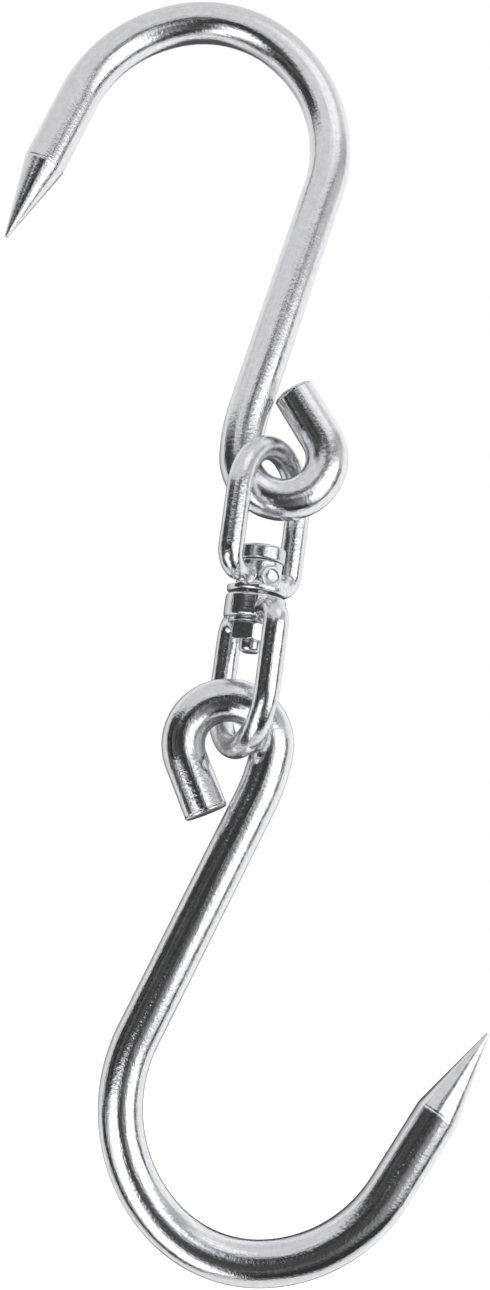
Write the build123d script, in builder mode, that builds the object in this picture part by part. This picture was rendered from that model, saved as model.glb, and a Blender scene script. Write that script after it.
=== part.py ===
from build123d import *
from math import cos, radians, sin
import os

os.makedirs("parts", exist_ok=True)

# Millimetres, +Z up. The origin is the point inside the crown of the upper hook that rests on a rail.
# Both hooks are bent in the plane Y = 0: +X points to the back of the upper hook, +Y away from the viewer.

# Hook bar, the same on both hooks. Radii are of the bar's centreline, turns are in degrees.
bar_radius = 3.9
crown_radius = 22.6
crown_front_turn = 8.7       # from the rail seat towards the point
crown_back_turn = 38.5       # from the rail seat towards the shank
side_radius = 27.0
side_front_turn = 56.2
side_back_turn = 69.6
front_length = 15.1          # straight bar before the ground point
shank_length = 45.2
neck_radius = 34.6           # slight bend between the shank and the eye
neck_turn = 15.5
eye_radius = 7.95
eye_turn = 212.5
tail_length = 10.1
tail_edge = 0.3
point_length = 16.2
point_tip_radius = 0.35

# Step from the upper hook's eye to the lower hook's eye, and the turn of the lower hook
lower_eye_step = (-10.19, -52.98)
lower_hook_turn = 171.44

# Swivel: its centre is on its axis, in the gap between the two collars
swivel_centre = Vector(10.1, -1.8, -109.35)
swivel_lean = 7.5            # degrees that its top leans towards +X
upper_frame_turn = 58.0      # degrees about the swivel axis, from the plane of the hooks
lower_frame_turn = -66.0

# Both frames: a bow of round bar with two legs, whose thinner feet turn in to a collar
leg_radius = 2.25
bow_radius = 10.2            # centreline of the bow, and half of the spacing of the legs
bow_height = 17.3            # from the swivel centre to the centre of the bow
corner_radius = 3.2
bridge_gap = 2.3             # from the swivel axis to the end of each foot, inside the collar
collar_radius = 5.5
collar_edge = 0.35

# Upper frame, heights up the swivel axis
upper_collar_start = 0.15
upper_collar_end = 1.3
upper_bridge_height = 3.1
upper_foot_radius = 1.5
boss_radius = 4.0
boss_end = 6.1
boss_foot_radius = 0.8
bore_radius = 2.05
pad_radius = 2.0
pad_height = 3.0
pad_reach = 4.5              # from the swivel axis to the pad's rim
pad_rim_width = 0.45
pad_sink = 0.2
pad_turn = -58.0             # degrees from the plane of the hooks

# Lower frame, heights down the swivel axis
lower_collar_start = 0.3
lower_collar_end = 4.6
lower_bridge_height = 3.3
lower_foot_radius = 2.0
spot_face_radius = 4.9
spot_face_depth = 3.0

# Pin, washer and nut
pin_radius = 2.0
pin_head_radius = 4.3
pin_head_gap = 0.1           # above the boss
pin_head_thickness = 2.7
pin_head_edge = 0.45
pin_end_reach = 1.9          # below the nut
pin_end_edge = 0.9
washer_radius = 4.5
washer_hole_radius = 2.15
washer_thickness = 0.8
washer_edge = 0.12
nut_across_flats = 7.0
nut_height = 3.2
nut_crown_radius = 3.6       # where the chamfer starts on both faces
nut_corner_drop = 0.3        # height of the chamfer at the corners
nut_turn = -118.0            # degrees from the plane of the hooks to the middle of a flat


def hook(plane):
    """A bent hook. The plane's origin is the load seat inside the crown, and its y points out of the crown."""
    with BuildPart() as bent_bar:
        with BuildLine(plane) as centreline:
            crown_front = JernArc((0, bar_radius), (-1, 0), crown_radius, crown_front_turn)
            side_front = JernArc(crown_front @ 1, crown_front % 1, side_radius, side_front_turn)
            front = Line(side_front @ 1, side_front @ 1 + (side_front % 1) * front_length)
            crown_back = JernArc((0, bar_radius), (1, 0), crown_radius, -crown_back_turn)
            side_back = JernArc(crown_back @ 1, crown_back % 1, side_radius, -side_back_turn)
            shank = Line(side_back @ 1, side_back @ 1 + (side_back % 1) * shank_length)
            neck = JernArc(shank @ 1, shank % 1, neck_radius, neck_turn)
            eye = JernArc(neck @ 1, neck % 1, eye_radius, eye_turn)
            tail = Line(eye @ 1, eye @ 1 + (eye % 1) * tail_length)
        path = centreline.wire()
        with BuildSketch(Plane(origin=path @ 0, z_dir=path % 0)):
            Circle(bar_radius)
        sweep(path=path)
        chamfer(bent_bar.faces().sort_by_distance(tail @ 1)[0].edges(), length=tail_edge)
        # The ground point is a cone with a small round tip, turned about the end of the bar
        point_dir = front % 1
        with BuildSketch(Plane(origin=front @ 1, x_dir=point_dir.cross(plane.z_dir), z_dir=plane.z_dir)):
            with BuildLine():
                tip_start = (point_tip_radius, point_length - point_tip_radius)
                Polyline((0, point_length), (0, 0), (bar_radius, 0), tip_start)
                JernArc((0, point_length), (1, 0), point_tip_radius, -90)
            make_face()
        revolve(axis=Axis(front @ 1, point_dir))
    return bent_bar.part, eye.arc_center


def swivel_direction(turn):
    """A direction square to the swivel axis, turned about it from the plane of the hooks."""
    lean = radians(swivel_lean)
    return Vector(cos(lean), 0, -sin(lean)) * cos(radians(turn)) + Vector(0, 1, 0) * sin(radians(turn))


def side_plane(turn, along):
    """A plane through the swivel axis: x runs across the legs, y along the axis."""
    across = swivel_direction(turn)
    return Plane(origin=swivel_centre, x_dir=across, z_dir=across.cross(along))


def cross_plane(along, height):
    """A plane square to the swivel axis."""
    return Plane(origin=swivel_centre + along * height, x_dir=swivel_direction(0), z_dir=along)


def round_section(path, share, radius):
    """A round section square to a path, at a share of its length."""
    with BuildSketch(Plane(origin=path @ share, z_dir=path % share)) as section:
        Circle(radius)
    return section.sketch.face()


def frame_bar(plane, bridge_height, foot_radius):
    """Round sections and centrelines of one frame's bar: the bow with both legs, then a thinner foot at each end."""
    with BuildLine(plane) as bow:
        Line((-bow_radius, bridge_height + corner_radius), (-bow_radius, bow_height))
        JernArc((-bow_radius, bow_height), (0, 1), bow_radius, -180)
        Line((bow_radius, bow_height), (bow_radius, bridge_height + corner_radius))
    bow_path = bow.wire()
    bars = [([round_section(bow_path, 0, leg_radius)], bow_path)]
    for side in (-1, 1):
        with BuildLine(plane) as foot:
            JernArc((side * bow_radius, bridge_height + corner_radius), (0, -1), corner_radius, -side * 90)
            Line((side * (bow_radius - corner_radius), bridge_height), (side * bridge_gap, bridge_height))
        foot_path = foot.wire()
        ends = [round_section(foot_path, 0, leg_radius), round_section(foot_path, 1, foot_radius)]
        bars.append((ends, foot_path))
    return bars


lean = radians(swivel_lean)
axis_up = Vector(sin(lean), 0, cos(lean))
axis_down = axis_up * -1

# Upper hook
upper_hook, upper_eye = hook(Plane.XZ)
upper_hook.label = "upper_hook"
export_step(upper_hook, "parts/upper_hook.step")

# Lower hook, turned about its eye
hook_turn = radians(lower_hook_turn)
hook_x = Vector(cos(hook_turn), 0, sin(hook_turn))
hook_y = Vector(-sin(hook_turn), 0, cos(hook_turn))
lower_eye = upper_eye + Vector(lower_eye_step[0], 0, lower_eye_step[1])
lower_seat = lower_eye - hook_x * upper_eye.X - hook_y * upper_eye.Z
lower_hook, _ = hook(Plane(origin=lower_seat, x_dir=hook_x, z_dir=(0, -1, 0)))
lower_hook.label = "lower_hook"
export_step(lower_hook, "parts/lower_hook.step")

# Upper frame: thin collar, tall boss under the pin's head, and a round blank pad on the boss
upper_side = side_plane(upper_frame_turn, axis_up)
with BuildPart() as upper_frame:
    for sections, path in frame_bar(upper_side, upper_bridge_height, upper_foot_radius):
        sweep(sections, path=path, multisection=len(sections) > 1)
    with BuildSketch(upper_side):
        with BuildLine():
            Polyline(
                (boss_radius, boss_end),
                (0, boss_end),
                (0, upper_collar_start),
                (collar_radius - collar_edge, upper_collar_start),
                (collar_radius, upper_collar_start + collar_edge),
                (collar_radius, upper_collar_end),
                (boss_radius + boss_foot_radius, upper_collar_end),
            )
            JernArc((boss_radius + boss_foot_radius, upper_collar_end), (-1, 0), boss_foot_radius, -90)
            Line((boss_radius, upper_collar_end + boss_foot_radius), (boss_radius, boss_end))
        make_face()
    revolve(axis=Axis(swivel_centre, axis_up))
    pad_out = swivel_direction(pad_turn)
    pad_foot = swivel_centre + axis_up * pad_height
    with BuildSketch(Plane(origin=pad_foot, z_dir=pad_out)):
        Circle(pad_radius)
    extrude(amount=pad_reach)
    with BuildSketch(Plane(origin=pad_foot + pad_out * pad_reach, z_dir=pad_out)):
        Circle(pad_radius - pad_rim_width)
    extrude(amount=-pad_sink, mode=Mode.SUBTRACT)
    with BuildSketch(cross_plane(axis_up, upper_collar_start)):
        Circle(bore_radius)
    extrude(amount=boss_end - upper_collar_start, mode=Mode.SUBTRACT)
upper_frame.part.label = "upper_frame"
export_step(upper_frame.part, "parts/upper_frame.step")

# Lower frame: tall collar, with a flat seat for the washer cut into the bridge
lower_side = side_plane(lower_frame_turn, axis_down)
with BuildPart() as lower_frame:
    for sections, path in frame_bar(lower_side, lower_bridge_height, lower_foot_radius):
        sweep(sections, path=path, multisection=len(sections) > 1)
    with BuildSketch(lower_side):
        with BuildLine():
            Polyline(
                (0, lower_collar_start),
                (collar_radius - collar_edge, lower_collar_start),
                (collar_radius, lower_collar_start + collar_edge),
                (collar_radius, lower_collar_end - collar_edge),
                (collar_radius - collar_edge, lower_collar_end),
                (0, lower_collar_end),
                close=True,
            )
        make_face()
    revolve(axis=Axis(swivel_centre, axis_down))
    with BuildSketch(cross_plane(axis_down, lower_collar_end)):
        Circle(spot_face_radius)
    extrude(amount=spot_face_depth, mode=Mode.SUBTRACT)
    with BuildSketch(cross_plane(axis_down, lower_collar_start)):
        Circle(pin_radius)
    extrude(amount=lower_collar_end - lower_collar_start, mode=Mode.SUBTRACT)
lower_frame.part.label = "lower_frame"
export_step(lower_frame.part, "parts/lower_frame.step")

# Washer, on the seat of the lower frame
with BuildPart() as washer:
    with BuildSketch(cross_plane(axis_down, lower_collar_end)):
        Circle(washer_radius)
        Circle(washer_hole_radius, mode=Mode.SUBTRACT)
    extrude(amount=washer_thickness)
    chamfer(washer.edges().filter_by(GeomType.CIRCLE).group_by(SortBy.RADIUS)[-1], length=washer_edge)
washer.part.label = "washer"
export_step(washer.part, "parts/washer.step")

# Hexagon nut, chamfered on both faces
nut_start = lower_collar_end + washer_thickness
nut_end = nut_start + nut_height
nut_corner_radius = nut_across_flats / 2 / cos(radians(30))
nut_plane = Plane(origin=swivel_centre + axis_down * nut_start, x_dir=swivel_direction(nut_turn), z_dir=axis_down)
with BuildPart() as nut:
    with BuildSketch(nut_plane):
        RegularPolygon(radius=nut_across_flats / 2, side_count=6, major_radius=False, rotation=30)
    extrude(amount=nut_height)
    with BuildSketch(side_plane(0, axis_down)):
        Polygon(
            (pin_radius, nut_start),
            (nut_crown_radius, nut_start),
            (nut_corner_radius, nut_start + nut_corner_drop),
            (nut_corner_radius, nut_end - nut_corner_drop),
            (nut_crown_radius, nut_end),
            (pin_radius, nut_end),
            align=None,
        )
    revolve(axis=Axis(swivel_centre, axis_down), mode=Mode.INTERSECT)
nut.part.label = "nut"
export_step(nut.part, "parts/nut.step")

# Pin: flat round head above the boss, shank through both collars and the nut, rounded end
head_start = boss_end + pin_head_gap
pin_end = nut_end + pin_end_reach
with BuildPart() as swivel_pin:
    with BuildSketch(cross_plane(axis_up, head_start)):
        Circle(pin_head_radius)
    extrude(amount=pin_head_thickness)
    fillet(swivel_pin.edges().filter_by(GeomType.CIRCLE), radius=pin_head_edge)
    with BuildSketch(cross_plane(axis_down, -head_start)):
        Circle(pin_radius)
    extrude(amount=head_start + pin_end)
    end_face = swivel_pin.faces().filter_by(GeomType.PLANE).sort_by(Axis(swivel_centre, axis_down))[-1]
    fillet(end_face.edges(), radius=pin_end_edge)
swivel_pin.part.label = "swivel_pin"
export_step(swivel_pin.part, "parts/swivel_pin.step")
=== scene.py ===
from math import cos, pi, radians, sin, tau

import bmesh
import bpy
from mathutils import Matrix, Vector, noise


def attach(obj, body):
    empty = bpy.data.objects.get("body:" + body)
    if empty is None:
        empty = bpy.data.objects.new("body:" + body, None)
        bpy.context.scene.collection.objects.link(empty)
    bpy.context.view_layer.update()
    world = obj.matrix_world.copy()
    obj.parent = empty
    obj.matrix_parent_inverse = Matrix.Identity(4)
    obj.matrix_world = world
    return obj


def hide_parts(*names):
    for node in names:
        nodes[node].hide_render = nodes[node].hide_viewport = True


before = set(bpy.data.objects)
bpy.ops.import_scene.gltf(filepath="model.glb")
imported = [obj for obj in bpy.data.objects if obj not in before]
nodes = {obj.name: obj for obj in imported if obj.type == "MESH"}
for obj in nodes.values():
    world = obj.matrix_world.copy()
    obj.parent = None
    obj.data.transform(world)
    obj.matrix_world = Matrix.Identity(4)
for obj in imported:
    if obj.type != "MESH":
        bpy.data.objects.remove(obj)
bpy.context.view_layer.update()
MM = 0.001

# ---- Dimensions repeated from the CAD model, in millimetres and degrees ----
BAR_RADIUS = 3.9
CROWN_RADIUS = 22.6
CROWN_FRONT_TURN = 8.7
CROWN_BACK_TURN = 38.5
SIDE_RADIUS = 27.0
SIDE_FRONT_TURN = 56.2
SIDE_BACK_TURN = 69.6
FRONT_LENGTH = 15.1
SHANK_LENGTH = 45.2
NECK_RADIUS = 34.6
NECK_TURN = 15.5
EYE_RADIUS = 7.95
EYE_TURN = 212.5
TAIL_LENGTH = 10.1
POINT_LENGTH = 16.2
POINT_TIP_RADIUS = 0.35
LOWER_EYE_STEP = (-10.19, 0.0, -52.98)  # from the upper hook's eye to the lower hook's
LOWER_HOOK_TURN = 171.44
SWIVEL_CENTRE = (10.1, -1.8, -109.35)
SWIVEL_LEAN = 7.5
PAD_TURN = -58.0
PAD_HEIGHT = 3.0
PAD_REACH = 4.5

# The hook's centre line, away from its seat: (radius, turn) for an arc and (None, length) for a straight
SEAT_TO_EYE = [
    (CROWN_RADIUS, -CROWN_BACK_TURN),
    (SIDE_RADIUS, -SIDE_BACK_TURN),
    (None, SHANK_LENGTH),
    (NECK_RADIUS, NECK_TURN),
]
EYE_TO_TAIL = [(EYE_RADIUS, EYE_TURN), (None, TAIL_LENGTH)]
SEAT_TO_POINT = [(CROWN_RADIUS, CROWN_FRONT_TURN), (SIDE_RADIUS, SIDE_FRONT_TURN), (None, FRONT_LENGTH)]

# ---- Detail of the visible meshes, in millimetres where it is a length ----
BAR_SIDES = 72          # faces round the bar
RING_STEP = 0.4         # between rings along the bar
TIP_STEPS = 8           # rings over the rounded tip, and over the tail's edge
POINT_STEPS = 60        # rings along the ground point
TAIL_EDGE = 0.35        # rounding of the sawn tail
TAIL_DISH = 0.02        # how far the tail's face sinks at its middle
DISH_RADIUS = 1.6       # shallow dish in the blank pad
DISH_DEPTH = 0.25
DISH_SLAB = 0.6         # how far from the pad's face the dish reaches
WAVE_SCALE = 420.0      # waves per metre in the hand-ground bows

# ---- Relief of the steel: (features per metre, detail, roughness) ----
MOTTLE = (900.0, 4.0, 0.6)
DIMPLES = (2000.0, 3.0, 0.6)
BROAD_WAVES = (160.0, 2.0, 0.55)
LINK_STREAKS = (1300.0, 3.0, 0.6)
BAR_STREAKS = (10.0, 4.0, 0.6)  # features per bar radius instead
LINK_STREAK_SQUEEZE = 0.06      # along the streaks, so that they come out long
BAR_STREAK_SQUEEZE = 0.17
RELIEF_HEIGHT = 0.1             # millimetres
DULLEST_TONE = 0.88             # shares of a steel's reflectance and roughness
SMOOTHEST_SPOT = 0.7
ROUGHEST_SPOT = 1.5

# ---- Camera and studio, in metres and degrees ----
LOOK_AT = Vector((8.035, 0, -117.995)) * MM
CAMERA_DISTANCE = 303.2 * MM
CAMERA_TILT = 10.0
CAMERA_LENS = 46.88
CAMERA_SENSOR = 36.0
NEAREST_SEEN = 0.01
FLOOR_SIZE = 12.0
FLOOR_HEIGHT = -0.52
FLOOR_GREY = 0.9
FLOOR_ROUGHNESS = 0.8
FLOOR_GLOW = 0.35       # keeps the far floor as pale as the room
TENT_RADIUS = 0.38

# Cloth between the panels: (elevation, brightness) below and above, with a blend from one to the other
TENT_BELOW = (-40.0, 0.9)
TENT_ABOVE = (50.0, 0.76)

# Light and dark panels of the tent, each one painted over those before it, in degrees. Azimuth is zero on the
# camera's side and grows towards +X. Each panel has the azimuths of its left edge and of its right edge, both
# at the top and at the bottom, the elevations of its bottom and top, its softness and its brightness.
TENT_PANELS = [
    # Behind the object: bright walls, with dark gaps that draw its outline
    ((95, 95), (185, 185), (-60, 60), 15, 1.05),
    ((-190, -190), (-105, -105), (-70, 60), 10, 0.9),
    ((-172, -172), (-128, -128), (-20, 30), 12, 0.5),
    ((158, 158), (200, 200), (-50, 25), 6, 0.1),
    ((-200, -200), (-152, -152), (-50, 25), 6, 0.1),
    # Above the dark side on the left
    ((-97, -97), (-40, -40), (12, 32), 5, 0.06),
    # Above the right softbox: grey cloth, a bright patch, and a dark slanting edge
    ((48, 48), (102, 102), (25, 40), 7, 0.48),
    ((46, 40), (92, 92), (13, 26), 4, 0.6),
    ((12, 12), (60, 60), (36, 62), 8, 1.15),
    ((48, 6), (62, 26), (17, 27), 2, 0.0),
    ((0, 0), (17, 17), (18, 28), 3, 0.1),
    # The dark side on the left, with three thin light seams
    ((-104, -104), (-74, -74), (-76, -15), 4, 0.05),
    ((-96, -90), (12, 2), (-16, 21), 5, 0.05),
    ((-92, -92), (-62, -62), (-16, 14), 7, 0.01),
    ((-78, -78), (-75, -75), (-14, 16), 2, 0.3),
    ((-56, -56), (-52, -52), (-14, 16), 2, 0.3),
    ((-34, -34), (-31, -31), (-14, 16), 2, 0.2),
    # Dark cloth under the camera, and the dark edge right of the right softbox
    ((-22, -22), (22, 30), (-45, -6), 6, 0.07),
    ((10, 20), (40, 45), (-45, -14), 6, 0.3),
    ((-14, -14), (80, 80), (-77, -44), 5, 0.04),
    ((76, 76), (91, 91), (-60, 11), 3, 0.0),
    ((-76, -76), (-10, -10), (-80, -73), 3, 0.2),
    # The two softboxes, and the shaded edge of the left one
    ((14, 38), (73, 74), (-34, 13), 3, 1.6),
    ((-52, -72), (-14, -18), (-72, -12), 3, 1.6),
    ((-22, -22), (-10, -10), (-50, -28), 4, 0.1),
]


# ---- Node helpers ----
class Nodes:
    """Adds shader nodes to one tree and wires them up."""

    def __init__(self, tree):
        self.tree = tree
        tree.nodes.clear()

    def add(self, kind, inputs=None, **settings):
        node = self.tree.nodes.new(kind)
        for key, value in settings.items():
            setattr(node, key, value)
        for key, value in (inputs or {}).items():
            self.plug(value, node.inputs[key])
        return node

    def plug(self, value, socket):
        if isinstance(value, bpy.types.NodeSocket):
            self.tree.links.new(value, socket)
        else:
            socket.default_value = value

    def math(self, operation, *values):
        node = self.add("ShaderNodeMath", operation=operation)
        for i, value in enumerate(values):
            self.plug(value, node.inputs[i])
        return node.outputs[0]

    def ramp(self, value, low, high, to_low=0.0, to_high=1.0, smooth=True):
        node = self.add(
            "ShaderNodeMapRange",
            {"Value": value, "From Min": low, "From Max": high, "To Min": to_low, "To Max": to_high},
            interpolation_type="SMOOTHSTEP" if smooth else "LINEAR",
        )
        return node.outputs[0]

    def noise(self, vector, scale, detail, roughness):
        node = self.add(
            "ShaderNodeTexNoise",
            {"Vector": vector, "Scale": scale, "Detail": detail, "Roughness": roughness},
        )
        return node.outputs["Fac"]

    def stretch(self, vector, scale):
        return self.add("ShaderNodeVectorMath", {0: vector, 1: scale}, operation="MULTIPLY").outputs[0]

    def weighted(self, *pairs):
        """Sum of value times weight."""
        total = None
        for value, weight in pairs:
            term = self.math("MULTIPLY", value, weight)
            total = term if total is None else self.math("ADD", total, term)
        return total

    def mix(self, factor, a, b):
        node = self.add("ShaderNodeMix", data_type="RGBA")
        for socket, value in (("Factor", factor), ("A", a), ("B", b)):
            found = [s for s in node.inputs if s.name == socket and s.enabled]
            self.plug(value, found[0])
        return [s for s in node.outputs if s.enabled][0]


def grey(value):
    """A grey with a trace of blue, as stainless steel and studio cloth have."""
    return (value, value, value * 1.01, 1.0)


def new_material(name):
    material = bpy.data.materials.new(name)
    material.use_nodes = True
    return material, Nodes(material.node_tree)


def dress(obj, material):
    obj.data.materials.clear()
    obj.data.materials.append(material)


# ---- Studio: a light tent round the object, seen only by reflections, in a white room ----
def studio_world():
    world = bpy.data.worlds.new("studio")
    bpy.context.scene.world = world
    world.use_nodes = True
    n = Nodes(world.node_tree)
    white = n.add("ShaderNodeBackground", {"Color": (1, 1, 1, 1), "Strength": 1.0})
    n.add("ShaderNodeOutputWorld", {"Surface": white.outputs[0]})


def panel_mask(n, azimuth, elevation, left, right, bottom, top, soft):
    """One inside a panel, zero outside it, with soft edges."""
    edges = []
    for at_top, at_bottom in (left, right):
        edges.append(n.ramp(elevation, bottom, top, at_bottom, at_top, smooth=False))
    past_left = n.math("SUBTRACT", azimuth, edges[0])
    before_right = n.math("SUBTRACT", edges[1], azimuth)
    inside = n.math("MULTIPLY", n.ramp(past_left, -soft, soft), n.ramp(before_right, -soft, soft))
    inside = n.math("MULTIPLY", inside, n.ramp(elevation, bottom - soft, bottom + soft))
    return n.math("MULTIPLY", inside, n.ramp(elevation, top - soft, top + soft, 1.0, 0.0))


def tent_cloth():
    material, n = new_material("tent_cloth")
    spot = n.add("ShaderNodeTexCoord").outputs["Object"]
    direction = n.add("ShaderNodeVectorMath", {0: spot}, operation="NORMALIZE").outputs[0]
    x, y, z = n.add("ShaderNodeSeparateXYZ", {0: direction}).outputs
    azimuth = n.math("MULTIPLY", n.math("ARCTAN2", x, n.math("MULTIPLY", y, -1.0)), 180 / pi)
    elevation = n.math("MULTIPLY", n.math("ARCSINE", z), 180 / pi)
    (low, dim_low), (high, dim_high) = TENT_BELOW, TENT_ABOVE
    colour = n.mix(n.ramp(elevation, low, high), grey(dim_low), grey(dim_high))
    for left, right, (bottom, top), soft, value in TENT_PANELS:
        inside = panel_mask(n, azimuth, elevation, left, right, bottom, top, soft)
        colour = n.mix(inside, colour, grey(value))
    glow = n.add("ShaderNodeEmission", {"Color": colour, "Strength": 1.0})
    n.add("ShaderNodeOutputMaterial", {"Surface": glow.outputs[0]})
    return material


def tent():
    """A dome whose panels and dark gaps give the steel its stripes. The camera and the floor don't see it."""
    bpy.ops.mesh.primitive_uv_sphere_add(segments=96, ring_count=48, radius=TENT_RADIUS, location=LOOK_AT)
    dome = bpy.context.object
    dome.name = "tent"
    dress(dome, tent_cloth())
    dome.visible_camera = False
    dome.visible_diffuse = False
    dome.visible_shadow = False
    dome.visible_transmission = False


def pale_floor():
    bpy.ops.mesh.primitive_plane_add(size=FLOOR_SIZE, location=(0, 0, FLOOR_HEIGHT))
    floor = bpy.context.object
    floor.name = "floor"
    material, n = new_material("pale_floor")
    paint = {
        "Base Color": grey(FLOOR_GREY),
        "Roughness": FLOOR_ROUGHNESS,
        "Emission Color": (1, 1, 1, 1),
        "Emission Strength": FLOOR_GLOW,
    }
    shader = n.add("ShaderNodeBsdfPrincipled", paint)
    n.add("ShaderNodeOutputMaterial", {"Surface": shader.outputs[0]})
    dress(floor, material)


# ---- Materials ----
def bar_streaks(n, coords):
    """Streaks along a bar. The coordinates run slowly along it and once round it without a seam."""
    along, around, _ = n.add("ShaderNodeSeparateXYZ", {0: coords.outputs["UV"]}).outputs
    turn = n.math("MULTIPLY", around, tau)
    drawn_out = {
        "X": n.math("MULTIPLY", along, BAR_STREAK_SQUEEZE),
        "Y": n.math("COSINE", turn),
        "Z": n.math("SINE", turn),
    }
    return n.noise(n.add("ShaderNodeCombineXYZ", drawn_out).outputs[0], *BAR_STREAKS)


def link_streaks(n, coords):
    """Marks drawn out along the swivel's axis, as on ground castings."""
    upright = n.add(
        "ShaderNodeVectorRotate",
        {"Vector": coords.outputs["Object"], "Axis": (0, 1, 0), "Angle": -radians(SWIVEL_LEAN)},
        rotation_type="AXIS_ANGLE",
    )
    return n.noise(n.stretch(upright.outputs[0], (1.0, 1.0, LINK_STREAK_SQUEEZE)), *LINK_STREAKS)


def steel(name, base, roughness, bump, grain, streaks):
    """Polished stainless: millimetre mottle, finer dimples, broad unevenness and drawn streaks.

    base is its reflectance, bump the strength of all relief, and grain the share of the dimples in it.
    """
    material, n = new_material(name)
    coords = n.add("ShaderNodeTexCoord")
    where = coords.outputs["Object"]
    mottle = n.noise(where, *MOTTLE)
    dimples = n.noise(where, *DIMPLES)
    broad = n.noise(where, *BROAD_WAVES)
    drawn = streaks(n, coords)
    tone = n.ramp(n.weighted((mottle, 0.6), (drawn, 0.4)), 0.35, 0.65)
    colour = n.mix(tone, grey(base * DULLEST_TONE), grey(base))
    unevenness = n.weighted((mottle, 1.0), (broad, 0.5))
    rough = n.ramp(unevenness, 0.5, 1.0, roughness * SMOOTHEST_SPOT, roughness * ROUGHEST_SPOT)
    height = n.weighted((mottle, 0.5), (broad, 0.8), (dimples, grain), (drawn, 0.8))
    surface = n.add("ShaderNodeBump", {"Height": height, "Strength": bump, "Distance": RELIEF_HEIGHT * MM})
    shader = n.add(
        "ShaderNodeBsdfPrincipled",
        {"Base Color": colour, "Metallic": 1.0, "Roughness": rough, "Normal": surface.outputs[0]},
    )
    n.add("ShaderNodeOutputMaterial", {"Surface": shader.outputs[0]})
    return material


# ---- Hooks: a swept bar with UVs along and round it ----
def bar_run(heading, pieces, step):
    """Points and headings in the hook's plane, from the top of its seat along straight runs and arcs."""
    spot, turn = Vector((0, BAR_RADIUS)), radians(heading)
    points = [(spot, turn)]
    for radius, amount in pieces:
        straight = radius is None
        length = amount if straight else abs(radians(amount)) * radius
        count = max(2, round(length / step))
        bend = 0.0 if straight else radians(amount)
        side = 1 if bend > 0 else -1
        for i in range(1, count + 1):
            if straight:
                points.append((spot + Vector((cos(turn), sin(turn))) * length * i / count, turn))
            else:
                centre = spot + Vector((-sin(turn), cos(turn))) * radius * side
                now = turn + bend * i / count
                points.append((centre - Vector((-sin(now), cos(now))) * radius * side, now))
        spot, turn = points[-1]
    return points


def eye_centre():
    """Centre of the eye in the hook's own plane, where its seat is at the origin."""
    spot, turn = bar_run(0, SEAT_TO_EYE, 1.0)[-1]
    return spot + Vector((-sin(turn), cos(turn))) * EYE_RADIUS


def point_profile():
    """Distance past the end of the bar and radius, from the tip of the ground point to its base."""
    start = POINT_LENGTH - POINT_TIP_RADIUS
    slope = (BAR_RADIUS - POINT_TIP_RADIUS) / start
    profile = []
    for i in range(TIP_STEPS + 1):
        a = pi / 2 * i / TIP_STEPS
        profile.append((POINT_LENGTH - POINT_TIP_RADIUS * (1 - cos(a)), POINT_TIP_RADIUS * sin(a)))
    for i in range(1, POINT_STEPS):
        at = start * (1 - i / POINT_STEPS)
        profile.append((at, POINT_TIP_RADIUS + (start - at) * slope))
    crisp_base = [(0.08, 0.09), (0.05, 0.07), (0.0, 0.02), (-0.06, 0.0)]
    profile += [(at, BAR_RADIUS - inset) for at, inset in crisp_base]
    return profile


def tail_profile():
    """The sawn tail: a small rounded edge and a nearly flat face."""
    flat = BAR_RADIUS - TAIL_EDGE
    profile = [(-TAIL_EDGE - 0.1, BAR_RADIUS)]
    for i in range(TIP_STEPS + 1):
        a = pi / 2 * i / TIP_STEPS
        profile.append((-TAIL_EDGE + TAIL_EDGE * sin(a), flat + TAIL_EDGE * cos(a)))
    for share in (0.8, 0.6, 0.4, 0.2, 0.0):
        profile.append((-TAIL_DISH * (1 - share), flat * share))
    return profile


def hook_rings():
    """Every ring of the bar from its point to its tail: centre, heading and radius."""
    back = bar_run(0, SEAT_TO_EYE + EYE_TO_TAIL, RING_STEP)
    front = bar_run(180, SEAT_TO_POINT, RING_STEP)
    end, heading = front[-1]
    out = Vector((cos(heading), sin(heading)))
    rings = [(end + out * at, heading + pi, radius) for at, radius in point_profile()]
    rings += [(spot, turn + pi, BAR_RADIUS) for spot, turn in reversed(front[:-1])]
    rings += [(spot, turn, BAR_RADIUS) for spot, turn in back[1:-1]]
    end, heading = back[-1]
    out = Vector((cos(heading), sin(heading)))
    rings += [(end + out * at, heading, radius) for at, radius in tail_profile()]
    return rings


def ring_verts(mesh, place, centre, heading, radius):
    across = Vector((-sin(heading), cos(heading)))
    row = []
    for k in range(BAR_SIDES):
        a = tau * k / BAR_SIDES
        flat = centre + across * radius * cos(a)
        row.append(mesh.verts.new(place @ Vector((flat.x, radius * sin(a), flat.y)) * MM))
    return row


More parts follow.
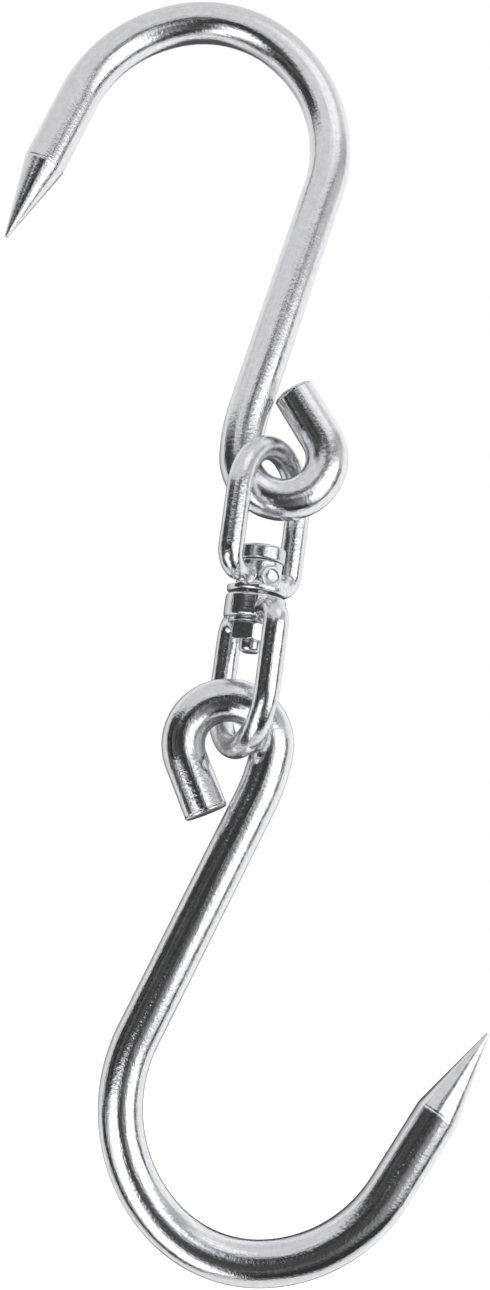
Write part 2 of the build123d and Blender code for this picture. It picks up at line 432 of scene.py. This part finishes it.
def hook_mesh(name, place):
    """The whole hook as one closed skin. U counts centimetres along the bar and V goes once round it."""
    mesh = bmesh.new()
    uv = mesh.loops.layers.uv.new("bar")
    rings = hook_rings()
    rows = [ring_verts(mesh, place, *ring) for ring in rings]
    along = [0.0]
    for i in range(1, len(rings)):
        along.append(along[-1] + (rings[i][0] - rings[i - 1][0]).length)
    for i in range(len(rows) - 1):
        for k in range(BAR_SIDES):
            m = (k + 1) % BAR_SIDES
            face = mesh.faces.new((rows[i][k], rows[i][m], rows[i + 1][m], rows[i + 1][k]))
            face.smooth = True
            corners = ((k, i), (k + 1, i), (k + 1, i + 1), (k, i + 1))
            for loop, (around, ring) in zip(face.loops, corners):
                loop[uv].uv = (along[ring] / 10, around / BAR_SIDES)
    bmesh.ops.remove_doubles(mesh, verts=mesh.verts, dist=1e-7)
    bmesh.ops.recalc_face_normals(mesh, faces=mesh.faces)
    data = bpy.data.meshes.new(name)
    mesh.to_mesh(data)
    mesh.free()
    obj = bpy.data.objects.new(name, data)
    bpy.context.scene.collection.objects.link(obj)
    return obj


def lower_place():
    """Where the lower hook hangs: the upper one turned about its eye and moved to the lower bow."""
    eye = eye_centre()
    eye_at = Vector((eye.x, 0, eye.y))
    turned = Matrix.Rotation(-radians(LOWER_HOOK_TURN), 4, "Y")
    return Matrix.Translation(eye_at + Vector(LOWER_EYE_STEP)) @ turned @ Matrix.Translation(-eye_at)


# ---- Link: finer copies of the CAD nodes with worn edges ----
def softened(node, voxel, passes, wave):
    """A finer copy of a CAD node, with creases worn round and faces waved a little, as if hand-ground."""
    piece = bpy.data.objects.new(node + "_worn", nodes[node].data.copy())
    bpy.context.scene.collection.objects.link(piece)
    mesh = bmesh.new()
    mesh.from_mesh(piece.data)
    bmesh.ops.remove_doubles(mesh, verts=mesh.verts, dist=1e-6)
    mesh.to_mesh(piece.data)
    mesh.free()
    remesh = piece.modifiers.new("remesh", "REMESH")
    remesh.mode = "VOXEL"
    remesh.voxel_size = voxel * MM
    smooth = piece.modifiers.new("smooth", "SMOOTH")
    smooth.factor = 0.5
    smooth.iterations = passes
    bpy.context.view_layer.update()
    depsgraph = bpy.context.evaluated_depsgraph_get()
    data = bpy.data.meshes.new_from_object(piece.evaluated_get(depsgraph), depsgraph=depsgraph)
    piece.modifiers.clear()
    piece.data = data
    if wave:
        normals = [vert.normal.copy() for vert in data.vertices]
        for vert, normal in zip(data.vertices, normals):
            vert.co += normal * (noise.noise(vert.co * WAVE_SCALE) * wave * MM)
    data.polygons.foreach_set("use_smooth", [True] * len(data.polygons))
    data.update()
    return piece


def dish_pad(data):
    """Sink the middle of the blank pad into a shallow dish."""
    lean, turn = radians(SWIVEL_LEAN), radians(PAD_TURN)
    up = Vector((sin(lean), 0, cos(lean)))
    out = Vector((cos(lean), 0, -sin(lean))) * cos(turn) + Vector((0, 1, 0)) * sin(turn)
    centre = (Vector(SWIVEL_CENTRE) + up * PAD_HEIGHT + out * PAD_REACH) * MM
    for vert in data.vertices:
        offset = vert.co - centre
        depth = offset.dot(out)
        share = (offset - out * depth).length / (DISH_RADIUS * MM)
        if share < 1 and abs(depth) < DISH_SLAB * MM:
            vert.co -= out * DISH_DEPTH * MM * (1 - share * share)


# ---- The object ----
studio_world()
tent()
bar_steel = steel("bar_steel", 0.82, 0.055, 0.4, 0.95, bar_streaks)
frame_steel = steel("frame_steel", 0.8, 0.08, 0.5, 1.0, link_streaks)
fastener_steel = steel("fastener_steel", 0.7, 0.12, 0.45, 1.0, link_streaks)

for name, place in (("upper_hook", Matrix.Identity(4)), ("lower_hook", lower_place())):
    bar = hook_mesh(name + "_bar", place)
    dress(bar, bar_steel)
    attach(bar, name)
    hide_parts(name)

# Node, body, voxel size in millimetres, smoothing passes, wave in millimetres, material, slot
LINK_PIECES = (
    ("upper_frame", "upper_link", 0.13, 8, 0.012, frame_steel, "frame_steel"),
    ("lower_frame", "lower_link", 0.13, 8, 0.012, frame_steel, "frame_steel"),
    ("swivel_pin", "lower_link", 0.09, 4, 0.0, fastener_steel, "fastener_steel"),
    ("washer", "lower_link", 0.08, 3, 0.0, fastener_steel, "fastener_steel"),
    ("nut", "lower_link", 0.08, 3, 0.0, fastener_steel, "fastener_steel"),
)
for node, body, voxel, passes, wave, material, slot in LINK_PIECES:
    piece = softened(node, voxel, passes, wave)
    if node == "upper_frame":
        dish_pad(piece.data)
    dress(piece, material)
    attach(piece, body)
    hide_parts(node)

pale_floor()

# ---- Camera ----
tilt = radians(CAMERA_TILT)
camera = bpy.data.objects.new("camera", bpy.data.cameras.new("camera"))
bpy.context.scene.collection.objects.link(camera)
camera.location = LOOK_AT + Vector((0, -cos(tilt), -sin(tilt))) * CAMERA_DISTANCE
camera.rotation_euler = (radians(90 + CAMERA_TILT), 0, 0)
camera.data.lens = CAMERA_LENS
camera.data.sensor_width = CAMERA_SENSOR
camera.data.clip_start = NEAREST_SEEN
bpy.context.scene.camera = camera
bpy.context.scene.view_settings.view_transform = "Standard"

bpy.context.view_layer.update()
